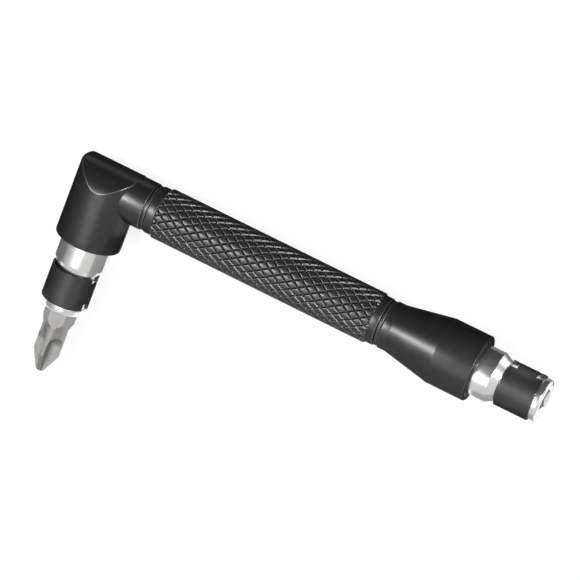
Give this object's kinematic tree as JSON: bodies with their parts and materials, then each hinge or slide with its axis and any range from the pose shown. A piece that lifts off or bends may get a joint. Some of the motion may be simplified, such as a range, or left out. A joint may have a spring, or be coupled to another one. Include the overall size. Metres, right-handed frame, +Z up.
{
  "type": "offset screwdriver",
  "caption": "Right-angle hand driver for hex bits: vaulted angle head with a cross-point bit, diamond-knurled grip and flared end with an open hex bit socket.",
  "frame": {"origin": "under the middle of the whole tool, on the surface that it lies on", "axes": "+X along the handle from the angle head to the open socket, -Y along the bit, +Z up from the surface it lies on"},
  "size_m": [0.1136, 0.054, 0.0151],
  "materials": {
    "black_body": "satin black anodised",
    "black_knurl": "satin black anodised, knurled",
    "chrome": "polished",
    "black_spring": "blackened spring steel",
    "ball_steel": "polished",
    "bit_steel": "satin"
  },
  "bodies": {
    "handle": {"angle_head": "black_body", "knurled_grip": "black_knurl", "end_bell": "black_body", "head_socket": "chrome", "tail_socket": "chrome", "head_spring_band": "black_spring", "tail_spring_band": "black_spring"},
    "bit": {"screwdriver_bit": "bit_steel"},
    "head_ball": {"head_detent_ball": "ball_steel"},
    "tail_ball": {"tail_detent_ball": "ball_steel"}
  },
  "joints": [
    {"name": "bit_pull", "type": "slide", "parent": "handle", "child": "bit", "axis": [0, -1, 0], "range_m": [0, 0.011]},
    {"name": "head_ball_press", "type": "slide", "parent": "handle", "child": "head_ball", "axis": [-0.9336, 0, -0.3584], "range_m": [0, 0.0003], "stiffness_N_per_m": 500, "deforming": ["head_spring_band"]},
    {"name": "tail_ball_press", "type": "slide", "parent": "handle", "child": "tail_ball", "axis": [0, -0.9336, -0.3584], "range_m": [0, 0.0003], "stiffness_N_per_m": 500, "deforming": ["tail_spring_band"]}
  ]
}
